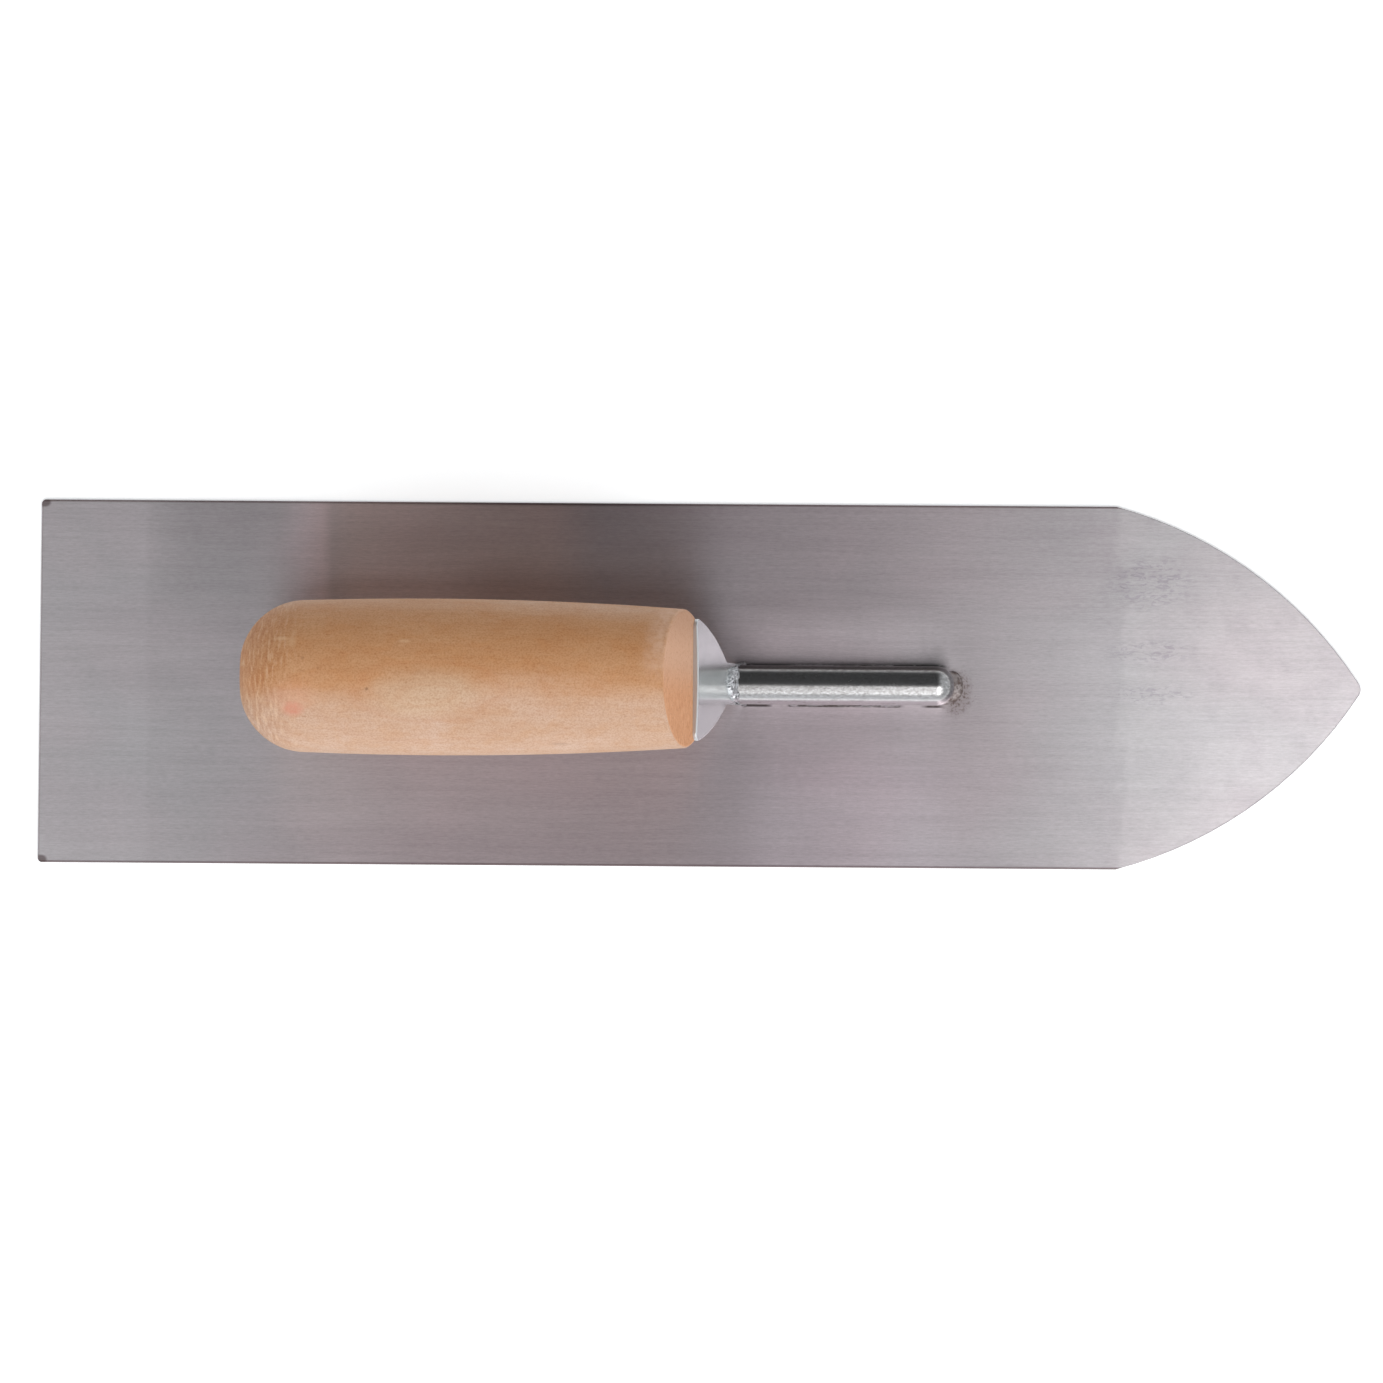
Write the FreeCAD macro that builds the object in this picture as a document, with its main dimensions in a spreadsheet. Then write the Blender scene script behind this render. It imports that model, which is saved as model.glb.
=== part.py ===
import FreeCAD, Part
import os
import Sketcher

# Pointed finishing trowel.
# Origin: middle of the blade's underside. +X runs to the point, +Z up. Millimetres.

DOC = FreeCAD.newDocument("pointed_trowel")

DIMENSIONS = {
    "blade_length": "364",
    "blade_width": "100",
    "blade_thickness": "1",
    "nose_corner_x": "182.54",
    "nose_length": "67.4",
    "nose_radius": "115",
    "tip_radius": "3",
    "heel_radius": "1.2",
    "edge_bevel": "0.3",
    "bar_diameter": "10.8",
    "bar_front_x": "69.7",
    "bar_end_round": "5",
    "neck_lean": "17.75",
    "neck_back_x": "10.8",
    "neck_thickness": "1.5",
    "neck_height": "42",
    "neck_foot_width": "11.2",
    "neck_waist_height": "16",
    "neck_top_width": "33.4",
    "neck_side_radius": "56",
    "neck_corner_radius": "2.2",
    "neck_crown_radius": "260",
    "neck_edge_round": "0.4",
    "handle_axis_height": "46.6",
    "handle_rear_x": "-121.7",
    "handle_length": "125",
    "butt_flat_radius": "7",
    "butt_length": "17",
    "butt_radius": "20.2",
    "butt_round_radius": "17.5",
    "barrel_radius": "950",
    "front_radius": "17.9",
    "front_edge_round": "0.8",
    "tang_diameter": "7",
    "tang_height": "37",
    "tang_rear_x": "-92",
    "bore_rear_x": "-95",
    "tang_chamfer": "1.5",
    "knuckle_base_height": "1.6",
    "knuckle_height": "14.6",
    "knuckle_bulge": "1.7",
    "knuckle_width": "12.4",
    "heel_weld_size": "3",
    "heel_weld_width": "10.4",
    "side_weld_rear_x": "24.7",
    "side_weld_length": "30.3",
    "side_weld_root": "1.8",
    "side_weld_rise": "4.3",
    "side_weld_toe": "5.8",
    "toe_weld_x": "69.3",
    "toe_weld_length": "3.1",
    "toe_weld_width": "4.2",
    "toe_weld_height": "1.5",
}

# Sizes that follow from the ones above.
DERIVED = {
    "bar_axis_height": "=blade_thickness + bar_diameter / 2",
    "bar_top_height": "=blade_thickness + bar_diameter",
    "lean_slope": "=tan(neck_lean * 1 deg)",
    "neck_run": "=neck_thickness / cos(neck_lean * 1 deg)",
    "neck_front_x": "=neck_back_x + neck_run",
    "crown_half_width": "=neck_top_width / 2 + 2",
    "crown_drop": "=neck_crown_radius - sqrt(neck_crown_radius ^ 2 - crown_half_width ^ 2)",
}


def make_sheet():
    """Put every driving dimension in one spreadsheet."""
    sheet = DOC.addObject("Spreadsheet::Sheet", "dims")
    rows = list(DIMENSIONS.items()) + list(DERIVED.items())
    for row, (alias, value) in enumerate(rows, start=1):
        sheet.set("A%d" % row, alias)
        sheet.set("B%d" % row, value)
        sheet.setAlias("B%d" % row, alias)
    DOC.recompute()
    return sheet


SHEET = make_sheet()


def size(expression):
    """Numeric value of an expression in spreadsheet aliases."""
    return float(SHEET.evalExpression(expression))


def linked(expression):
    """The same expression, written for an object outside the sheet."""
    words = sorted(list(DIMENSIONS) + list(DERIVED), key=len, reverse=True)
    out = ""
    rest = expression
    while rest:
        for word in words:
            if rest.startswith(word):
                out += "dims." + word
                rest = rest[len(word):]
                break
        else:
            out += rest[0]
            rest = rest[1:]
    return out


def bind(obj, prop, expression):
    """Drive one property from the sheet."""
    obj.setExpression(prop, linked(expression))


def make_body(name, base=("0", "0", "0")):
    """One sub-part: a body with its own placement."""
    body = DOC.addObject("PartDesign::Body", name)
    body.Label = name
    for axis, value in zip("xyz", base):
        bind(body, ".Placement.Base." + axis, value)
    return body


def make_sketch(body, name, plane):
    """A sketch on one of the body's own origin planes."""
    sketch = body.newObject("Sketcher::SketchObject", name)
    for feature in body.Origin.OriginFeatures:
        if feature.Role == plane:
            sketch.AttachmentSupport = (feature, [""])
    sketch.MapMode = "FlatFace"
    return sketch


def pin_point(sketch, edge, end, corner):
    """Hold one sketch point at expression coordinates."""
    kinds = (("DistanceX", -2, corner[0]), ("DistanceY", -1, corner[1]))
    for kind, axis, expression in kinds:
        value = size(expression)
        if abs(value) < 1e-9:
            sketch.addConstraint(Sketcher.Constraint("PointOnObject", edge, end, axis))
        else:
            rule = Sketcher.Constraint(kind, -1, 1, edge, end, value)
            index = sketch.addConstraint(rule)
            bind(sketch, "Constraints[%d]" % index, expression)


def arc_between(first, last, radius, side):
    """Arc from first to last, bulging to the left (side 1) or right (-1)."""
    chord = last - first
    middle = (first + last) * 0.5
    left = FreeCAD.Vector(-chord.y, chord.x, 0).normalize()
    rise = radius - (radius ** 2 - (chord.Length / 2) ** 2) ** 0.5
    return Part.Arc(first, middle + left * (rise * side), last)


def draw_outline(sketch, corners, arcs=None):
    """Closed outline through corners; arcs maps an edge index to (radius, side)."""
    arcs = arcs or {}
    points = [FreeCAD.Vector(size(x), size(y), 0) for x, y in corners]
    starts = []
    for index, first in enumerate(points):
        last = points[(index + 1) % len(points)]
        if index in arcs:
            radius, side = arcs[index]
            curve = arc_between(first, last, size(radius), side)
            edge = sketch.addGeometry(curve, False)
            rule = sketch.addConstraint(Sketcher.Constraint("Radius", edge, size(radius)))
            bind(sketch, "Constraints[%d]" % rule, radius)
        else:
            edge = sketch.addGeometry(Part.LineSegment(first, last), False)
        near = (sketch.getPoint(edge, 1) - first).Length < 1e-6
        starts.append((edge, 1 if near else 2))
    for index, (edge, end) in enumerate(starts):
        before, before_start = starts[index - 1]
        joint = Sketcher.Constraint("Coincident", before, 3 - before_start, edge, end)
        sketch.addConstraint(joint)
        pin_point(sketch, edge, end, corners[index])


def draw_circle(sketch, diameter, centre=("0", "0")):
    """Circle of a given diameter."""
    middle = FreeCAD.Vector(size(centre[0]), size(centre[1]), 0)
    circle = Part.Circle(middle, FreeCAD.Vector(0, 0, 1), size(diameter) / 2)
    edge = sketch.addGeometry(circle, False)
    rule = sketch.addConstraint(Sketcher.Constraint("Diameter", edge, size(diameter)))
    bind(sketch, "Constraints[%d]" % rule, diameter)
    pin_point(sketch, edge, 3, centre)


def pad(body, name, sketch, length, midplane=False):
    """Extrude a sketch."""
    feature = body.newObject("PartDesign::Pad", name)
    feature.Profile = sketch
    feature.Midplane = midplane
    bind(feature, "Length", length)
    DOC.recompute()
    return feature


def cut_through(body, name, sketch):
    """Pocket a sketch through everything, both ways."""
    before = body.Shape.Volume
    feature = body.newObject("PartDesign::Pocket", name)
    feature.Profile = sketch
    feature.Type = 1
    feature.Midplane = True
    DOC.recompute()
    if body.Shape.Volume >= before:
        raise RuntimeError(name + " removed nothing")
    return feature


def edges_where(feature, test):
    """Names of the feature's edges whose middle point passes a test."""
    names = []
    for index, edge in enumerate(feature.Shape.Edges, start=1):
        middle = edge.valueAt((edge.FirstParameter + edge.LastParameter) / 2)
        if test(edge, middle):
            names.append("Edge%d" % index)
    return names


def dress(body, kind, name, base, names, amount):
    """Fillet or chamfer chosen edges."""
    feature = body.newObject("PartDesign::" + kind, name)
    feature.Base = (base, names)
    bind(feature, "Radius" if kind == "Fillet" else "Size", amount)
    DOC.recompute()
    return feature


def is_upright(edge):
    """True for an edge parallel to Z."""
    ends = [vertex.Point for vertex in edge.Vertexes]
    return len(ends) == 2 and (ends[0] - ends[1]).cross(FreeCAD.Vector(0, 0, 1)).Length < 1e-6


def make_blade():
    """Thin sheet with a square heel and an arched point."""
    body = make_body("blade")
    sketch = make_sketch(body, "blade_outline", "XY_Plane")
    half_length = "blade_length / 2"
    half_width = "blade_width / 2"
    shoulder = "blade_length / 2 - nose_length"
    corners = [
        ("-" + half_length, "-" + half_width),
        (shoulder, "-" + half_width),
        ("nose_corner_x", "0"),
        (shoulder, half_width),
        ("-" + half_length, half_width),
    ]
    draw_outline(sketch, corners, {1: ("nose_radius", -1), 2: ("nose_radius", -1)})
    sheet = pad(body, "blade_sheet", sketch, "blade_thickness")
    tip = edges_where(sheet, lambda e, m: is_upright(e) and m.x > size(half_length) - 1)
    rounded = dress(body, "Fillet", "tip_round", sheet, tip, "tip_radius")
    heel = edges_where(rounded, lambda e, m: is_upright(e) and m.x < 1 - size(half_length))
    rounded = dress(body, "Fillet", "heel_round", rounded, heel, "heel_radius")
    top = size("blade_thickness")
    rim = edges_where(rounded, lambda e, m: abs(m.z - top) < 1e-6 and not is_upright(e))
    dress(body, "Chamfer", "rim_bevel", rounded, rim, "edge_bevel")
    return body


def cut_slant(body, name, axis_x, reach, far):
    """Trim a body on a plane with the neck's lean that crosses its axis at axis_x."""
    sketch = make_sketch(body, name + "_outline", "XZ_Plane")
    corners = [
        (axis_x + " + lean_slope * " + reach, "-" + reach),
        (far, "-" + reach),
        (far, reach),
        (axis_x + " - lean_slope * " + reach, reach),
    ]
    draw_outline(sketch, corners)
    return cut_through(body, name, sketch)


def make_foot_bar():
    """Round bar along the blade, its rear end cut to the neck plate's lean."""
    body = make_body("foot_bar", ("0", "0", "bar_axis_height"))
    sketch = make_sketch(body, "bar_section", "YZ_Plane")
    draw_circle(sketch, "bar_diameter")
    bar = pad(body, "bar", sketch, "bar_front_x")
    reach = size("bar_front_x")
    front = edges_where(bar, lambda e, m: m.x > reach - 1e-6)
    dress(body, "Fillet", "bar_dome", bar, front, "bar_end_round")
    axis_x = "neck_front_x - lean_slope * bar_diameter / 2"
    cut_slant(body, "bar_rear", axis_x, "bar_diameter", "-bar_diameter")
    return body


def lean_back(body):
    """Turn a body about its base so that its top leans towards the handle."""
    body.Placement.Rotation = FreeCAD.Rotation(FreeCAD.Vector(0, -1, 0), size("neck_lean"))
    bind(body, ".Placement.Rotation.Angle", "neck_lean * 1 deg")


def make_neck_plate():
    """Fan-shaped plate leaning back over the blade, lightly crowned in front."""
    body = make_body("neck_plate", ("neck_back_x", "0", "blade_thickness"))
    lean_back(body)
    sketch = make_sketch(body, "neck_outline", "YZ_Plane")
    foot = "neck_foot_width / 2"
    top = "neck_top_width / 2"
    corners = [
        ("-" + foot, "0"),
        (foot, "0"),
        (foot, "neck_waist_height"),
        (top, "neck_height"),
        ("-" + top, "neck_height"),
        ("-" + foot, "neck_waist_height"),
    ]
    sides = {2: ("neck_side_radius", -1), 4: ("neck_side_radius", -1)}
    draw_outline(sketch, corners, sides)
    plate = pad(body, "neck_fan", sketch, "neck_thickness")
    height = size("neck_height")
    thickness = size("neck_thickness")

    def at_top_corner(edge, middle):
        through = edge.Length < thickness + 1e-6 and abs(middle.x - thickness / 2) < 1e-6
        return through and middle.z > height - 1e-6

    rounded = dress(body, "Fillet", "neck_corners", plate,
                    edges_where(plate, at_top_corner), "neck_corner_radius")
    crown = make_sketch(body, "neck_crown_section", "XY_Plane")
    edge_x = "neck_thickness - crown_drop"
    corners = [
        (edge_x, "-crown_half_width"),
        (edge_x, "crown_half_width"),
        ("neck_thickness + 1", "crown_half_width"),
        ("neck_thickness + 1", "-crown_half_width"),
    ]
    draw_outline(crown, corners, {0: ("neck_crown_radius", -1)})
    crowned = cut_through(body, "neck_crown", crown)

    def at_front_top(edge, middle):
        return abs(middle.z - height) < 1e-6 and middle.x > thickness / 2

    dress(body, "Fillet", "neck_top_edge", crowned,
          edges_where(crowned, at_front_top), "neck_edge_round")
    return body


def back_x(height):
    """Expression for the plate's back face at a height above the ground."""
    return "neck_back_x - lean_slope * (" + height + " - blade_thickness)"


def make_tang():
    """Round rod welded to the back of the plate, running inside the handle."""
    body = make_body("tang", ("tang_rear_x", "0", "tang_height"))
    sketch = make_sketch(body, "tang_section", "YZ_Plane")
    draw_circle(sketch, "tang_diameter")
    rod = pad(body, "tang_rod", sketch, "-tang_rear_x + tang_diameter")
    rear = edges_where(rod, lambda e, m: m.x < 1e-6)
    dress(body, "Chamfer", "tang_point", rod, rear, "tang_chamfer")
    axis_x = "-tang_rear_x + " + back_x("tang_height")
    cut_slant(body, "tang_front", axis_x, "tang_diameter", "-tang_rear_x + 3 * tang_diameter")
    return body


def make_handle():
    """Turned grip with a domed butt; the front is sawn to the plate's lean."""
    body = make_body("handle", ("handle_rear_x", "0", "handle_axis_height"))
    profile = make_sketch(body, "handle_profile", "XZ_Plane")
    corners = [
        ("0", "0"),
        ("0", "butt_flat_radius"),
        ("butt_length", "butt_radius"),
        ("handle_length", "front_radius"),
        ("handle_length", "0"),
    ]
    draw_outline(profile, corners, {1: ("butt_round_radius", 1), 2: ("barrel_radius", 1)})
    turned = body.newObject("PartDesign::Revolution", "handle_turned")
    turned.Profile = profile
    turned.ReferenceAxis = (profile, ["H_Axis"])
    turned.Angle = 360
    DOC.recompute()
    axis_x = "-handle_rear_x + " + back_x("handle_axis_height")
    sawn = cut_slant(body, "handle_front", axis_x, "handle_length / 4", "handle_length * 1.2")
    slope = size("lean_slope")
    middle_x = size(axis_x)

    def on_front_rim(edge, middle):
        return abs(middle.x - middle_x + slope * middle.z) < 1e-4

    dress(body, "Fillet", "handle_front_edge", sawn,
          edges_where(sawn, on_front_rim), "front_edge_round")
    mouth = make_sketch(body, "bore_section", "YZ_Plane")
    mouth.AttachmentOffset = FreeCAD.Placement(
        FreeCAD.Vector(0, 0, size("handle_length")), FreeCAD.Rotation())
    bind(mouth, ".AttachmentOffset.Base.z", "handle_length")
    draw_circle(mouth, "tang_diameter", ("0", "tang_height - handle_axis_height"))
    solid = body.Shape.Volume
    bore = body.newObject("PartDesign::Pocket", "tang_bore")
    bore.Profile = mouth
    bind(bore, "Length", "handle_rear_x + handle_length - bore_rear_x")
    DOC.recompute()
    if body.Shape.Volume >= solid:
        raise RuntimeError("tang_bore removed nothing")
    return body


def trim_with(name, blank, tool):
    """Take one solid away from another."""
    cut = DOC.addObject("Part::Cut", name)
    cut.Label = name
    cut.Base = blank
    cut.Tool = tool
    DOC.recompute()
    return cut


def make_knuckle_weld(bar):
    """Long bead up the front of the plate, lapping over the rear end of the bar."""
    front = "neck_front_x - lean_slope * (knuckle_base_height - blade_thickness)"
    body = make_body("knuckle_blank", (front, "0", "knuckle_base_height"))
    lean_back(body)
    dome = body.newObject("PartDesign::AdditiveEllipsoid", "knuckle_dome")
    dome.Placement.Rotation = FreeCAD.Rotation(FreeCAD.Vector(0, 0, 1), -90)
    bind(dome, "Radius1", "knuckle_height")
    bind(dome, "Radius2", "knuckle_width / 2")
    bind(dome, "Radius3", "knuckle_bulge")
    dome.Angle1 = 0
    dome.Angle2 = 90
    dome.Angle3 = 180
    DOC.recompute()
    return trim_with("knuckle_weld", body, bar)


def make_heel_weld():
    """Fillet behind the plate's foot."""
    body = make_body("heel_weld")
    side = make_sketch(body, "heel_side", "XZ_Plane")
    corners = [
        ("neck_back_x", "blade_thickness"),
        ("neck_back_x - lean_slope * heel_weld_size", "blade_thickness + heel_weld_size"),
        ("neck_back_x - heel_weld_size", "blade_thickness"),
    ]
    draw_outline(side, corners)
    pad(body, "heel_bead", side, "heel_weld_width", midplane=True)
    return body


def make_side_weld(name, hand):
    """Short fillet between bar and blade; hand is -1 or 1 for its side in Y."""
    body = make_body(name, ("side_weld_rear_x", "0", "blade_thickness"))
    section = make_sketch(body, name + "_section", "YZ_Plane")
    sign = "-" if hand < 0 else ""
    radius = "bar_diameter / 2"

    def bar_under(offset):
        return radius + " - sqrt((" + radius + ") ^ 2 - " + offset + " ^ 2)"

    corners = [
        (sign + "side_weld_root", "0"),
        (sign + "side_weld_toe", "0"),
        (sign + "side_weld_rise", bar_under("side_weld_rise")),
        (sign + "side_weld_root", bar_under("side_weld_root")),
    ]
    draw_outline(section, corners, {2: (radius, -hand)})
    pad(body, name + "_bead", section, "side_weld_length")
    return body


def make_toe_weld(bar):
    """Low domed bead under the bar's front end."""
    dome = DOC.addObject("Part::Ellipsoid", "toe_dome")
    bind(dome, "Radius1", "toe_weld_height")
    bind(dome, "Radius2", "toe_weld_length")
    bind(dome, "Radius3", "toe_weld_width")
    dome.Angle1 = 0
    dome.Angle2 = 90
    bind(dome, ".Placement.Base.x", "toe_weld_x")
    bind(dome, ".Placement.Base.z", "blade_thickness")
    return trim_with("toe_weld", dome, bar)


def check(parts):
    """Stop if any object failed or any sub-part isn't one valid solid."""
    for obj in DOC.Objects:
        if "Invalid" in obj.State or "Error" in obj.State:
            raise RuntimeError(obj.Name + " did not recompute")
    for part in parts:
        shape = part.Shape
        if shape.isNull() or not shape.isValid() or len(shape.Solids) != 1:
            raise RuntimeError(part.Label + " is not one valid solid")


def main():
    """Build every sub-part and write its STEP file."""
    bar = make_foot_bar()
    parts = [
        make_blade(),
        bar,
        make_neck_plate(),
        make_tang(),
        make_handle(),
        make_knuckle_weld(bar),
        make_heel_weld(),
        make_side_weld("side_weld_left", 1),
        make_side_weld("side_weld_right", -1),
        make_toe_weld(bar),
    ]
    DOC.recompute()
    check(parts)
    os.makedirs("parts", exist_ok=True)
    for part in parts:
        part.Shape.exportStep("parts/" + part.Label + ".step")
        box = part.Shape.BoundBox
        print("%-16s volume %10.2f mm3  x %.2f..%.2f  y %.2f..%.2f  z %.2f..%.2f" % (
            part.Label, part.Shape.Volume, box.XMin, box.XMax,
            box.YMin, box.YMax, box.ZMin, box.ZMax))


main()
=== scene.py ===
import math

import bmesh
import bpy
from mathutils import Matrix, Vector, noise


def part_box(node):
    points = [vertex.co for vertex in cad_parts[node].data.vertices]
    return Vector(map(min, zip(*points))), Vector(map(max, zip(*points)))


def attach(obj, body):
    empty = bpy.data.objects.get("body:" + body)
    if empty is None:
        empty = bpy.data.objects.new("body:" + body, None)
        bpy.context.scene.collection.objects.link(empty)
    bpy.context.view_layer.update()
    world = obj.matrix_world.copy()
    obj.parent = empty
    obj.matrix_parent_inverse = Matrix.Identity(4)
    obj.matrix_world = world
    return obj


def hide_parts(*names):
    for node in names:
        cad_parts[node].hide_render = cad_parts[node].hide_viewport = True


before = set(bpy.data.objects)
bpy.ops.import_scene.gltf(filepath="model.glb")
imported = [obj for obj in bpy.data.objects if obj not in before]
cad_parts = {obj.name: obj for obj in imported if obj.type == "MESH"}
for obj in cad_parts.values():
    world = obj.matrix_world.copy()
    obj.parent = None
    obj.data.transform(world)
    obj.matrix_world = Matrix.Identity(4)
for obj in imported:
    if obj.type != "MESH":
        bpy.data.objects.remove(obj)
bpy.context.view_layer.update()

MM = 0.001

# Places taken from the frame, in metres.
BLADE_LOW, BLADE_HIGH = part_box("blade")
BAR_LOW, BAR_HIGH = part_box("foot_bar")
HANDLE_LOW, HANDLE_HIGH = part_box("handle")
BLADE_TOP = BLADE_HIGH.z
BAR_RADIUS = (BAR_HIGH.y - BAR_LOW.y) / 2

# The plate and the sawn front of the grip lean back by the same angle.
LEAN = math.radians(17.75)
FRONT_FACING = (math.cos(LEAN), 0, math.sin(LEAN))


# ---------------------------------------------------------------- node helpers

def make_tree(name):
    """A new material with an empty tree, its Principled shader and object coordinates."""
    material = bpy.data.materials.new(name)
    material.use_nodes = True
    tree = material.node_tree
    tree.nodes.clear()
    output = tree.nodes.new("ShaderNodeOutputMaterial")
    shader = tree.nodes.new("ShaderNodeBsdfPrincipled")
    tree.links.new(shader.outputs["BSDF"], output.inputs["Surface"])
    place = tree.nodes.new("ShaderNodeTexCoord").outputs["Object"]
    return material, tree, shader, place


def put(tree, socket, value):
    """Set a socket, or link it when the value is another socket."""
    if isinstance(value, bpy.types.NodeSocket):
        tree.links.new(value, socket)
    else:
        socket.default_value = value


def finish_surface(tree, shader, colour, roughness, normal):
    """Link a colour, a roughness and a bumped normal to a shader."""
    put(tree, shader.inputs["Base Color"], colour)
    put(tree, shader.inputs["Roughness"], roughness)
    put(tree, shader.inputs["Normal"], normal)


def math_node(tree, operation, first, second=0.0):
    """One scalar operation."""
    node = tree.nodes.new("ShaderNodeMath")
    node.operation = operation
    put(tree, node.inputs[0], first)
    put(tree, node.inputs[1], second)
    return node.outputs[0]


def times(tree, *values):
    """Product of several values."""
    total = values[0]
    for value in values[1:]:
        total = math_node(tree, "MULTIPLY", total, value)
    return total


def vector_node(tree, operation, first, second=(0, 0, 0)):
    """One vector operation."""
    node = tree.nodes.new("ShaderNodeVectorMath")
    node.operation = operation
    put(tree, node.inputs[0], first)
    put(tree, node.inputs[1], second)
    return node.outputs["Value" if operation in ("DOT_PRODUCT", "LENGTH") else "Vector"]


def split(tree, vector):
    """The three parts of a vector, as X, Y and Z."""
    node = tree.nodes.new("ShaderNodeSeparateXYZ")
    tree.links.new(vector, node.inputs[0])
    return node.outputs


def facing_front(tree):
    """Cosine of the angle between the surface and the leaning front face."""
    normal = tree.nodes.new("ShaderNodeNewGeometry").outputs["Normal"]
    return vector_node(tree, "DOT_PRODUCT", normal, FRONT_FACING)


def scaled(tree, place, scale, shift=(0, 0, 0)):
    """Coordinates stretched for a pattern with a direction."""
    node = tree.nodes.new("ShaderNodeMapping")
    tree.links.new(place, node.inputs["Vector"])
    node.inputs["Scale"].default_value = scale
    node.inputs["Location"].default_value = shift
    return node.outputs["Vector"]


def noise_node(tree, place, scale, detail=3.0, roughness=0.5, distortion=0.0):
    """Noise value from 0 to 1 around 0.5. The scale is in spots per metre."""
    node = tree.nodes.new("ShaderNodeTexNoise")
    tree.links.new(place, node.inputs["Vector"])
    node.inputs["Scale"].default_value = scale
    node.inputs["Detail"].default_value = detail
    node.inputs["Roughness"].default_value = roughness
    node.inputs["Distortion"].default_value = distortion
    return node.outputs["Fac"]


def drawn_noise(tree, place, scales, detail=3.0, roughness=0.5, distortion=0.0, shift=(0, 0, 0)):
    """Noise with its own scale along X, Y and Z, for grain and brushing."""
    return noise_node(tree, scaled(tree, place, scales, shift), 1.0, detail, roughness, distortion)


def ramp(tree, value, low, high, to_low=0.0, to_high=1.0, smooth=False):
    """Map a value from one range to another, clamped."""
    node = tree.nodes.new("ShaderNodeMapRange")
    node.interpolation_type = "SMOOTHSTEP" if smooth else "LINEAR"
    put(tree, node.inputs["Value"], value)
    node.inputs["From Min"].default_value = low
    node.inputs["From Max"].default_value = high
    node.inputs["To Min"].default_value = to_low
    node.inputs["To Max"].default_value = to_high
    return node.outputs["Result"]


def ease(tree, value, start, end, strength=1.0):
    """0 up to start, rising smoothly to a strength at end."""
    return ramp(tree, value, start, end, 0.0, strength, smooth=True)


def between(tree, value, low, high, soft):
    """1 while a value is between two limits, with soft ends."""
    rising = ease(tree, value, low - soft, low + soft)
    falling = ease(tree, value, high + soft, high - soft)
    return times(tree, rising, falling)


def spot(tree, place, centre, size, soft=0.5):
    """1 inside an ellipsoid at centre with half sizes size, fading to 0 outside."""
    offset = vector_node(tree, "SUBTRACT", place, centre)
    reach = vector_node(tree, "LENGTH", vector_node(tree, "DIVIDE", offset, size))
    return ease(tree, reach, 1 + soft, 1 - soft)


def blend_colour(tree, factor, first, second, mode="MIX"):
    """Mix two colours by a factor."""
    node = tree.nodes.new("ShaderNodeMix")
    node.data_type = "RGBA"
    node.blend_type = mode
    sockets = [s for s in node.inputs if s.enabled]
    put(tree, sockets[0], factor)
    put(tree, sockets[1], first)
    put(tree, sockets[2], second)
    return [s for s in node.outputs if s.enabled][0]


def tint(tree, factor, base, colour):
    """Multiply a colour by a tint, as far as the factor says."""
    return blend_colour(tree, factor, base, colour, "MULTIPLY")


def bump(tree, height, strength, distance, under=None):
    """A bump normal; distance is the height in metres of a full step."""
    node = tree.nodes.new("ShaderNodeBump")
    node.inputs["Strength"].default_value = strength
    node.inputs["Distance"].default_value = distance
    tree.links.new(height, node.inputs["Height"])
    if under is not None:
        tree.links.new(under, node.inputs["Normal"])
    return node.outputs["Normal"]


def rgb(red, green, blue):
    """A linear colour from display values 0 to 255."""
    parts = []
    for value in (red, green, blue):
        part = value / 255
        parts.append(part / 12.92 if part <= 0.04045 else ((part + 0.055) / 1.055) ** 2.4)
    return (*parts, 1.0)


# ----------------------------------------------------------------------- blade

BRUSHED_DARK = (0.495, 0.47, 0.48, 1)
BRUSHED_PALE = (0.615, 0.59, 0.605, 1)
# Where the painted reflection steps in tone across the sheet, behind the nose and ahead of the
# heel.
NOSE_STEP_X = BLADE_HIGH.x - 66 * MM
HEEL_STEP_X = BLADE_LOW.x + 29.5 * MM
# Middle across the blade and half width of each smudge behind the nose.
SMUDGES = ((29 * MM, 7 * MM), (10 * MM, 3 * MM), (-2 * MM, 2.5 * MM))
SMUDGE_HALF_LENGTH = 11 * MM
# Where the toe weld scorched the sheet.
BURN_CENTRE = (BAR_HIGH.x + 0.6 * MM, -1.6 * MM, BLADE_TOP)


def brush_tangent(tree, direction):
    """Direction across the brushing lines, kept in the surface."""
    normal = tree.nodes.new("ShaderNodeNewGeometry").outputs["Normal"]
    return vector_node(tree, "CROSS_PRODUCT", normal, direction)


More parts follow.
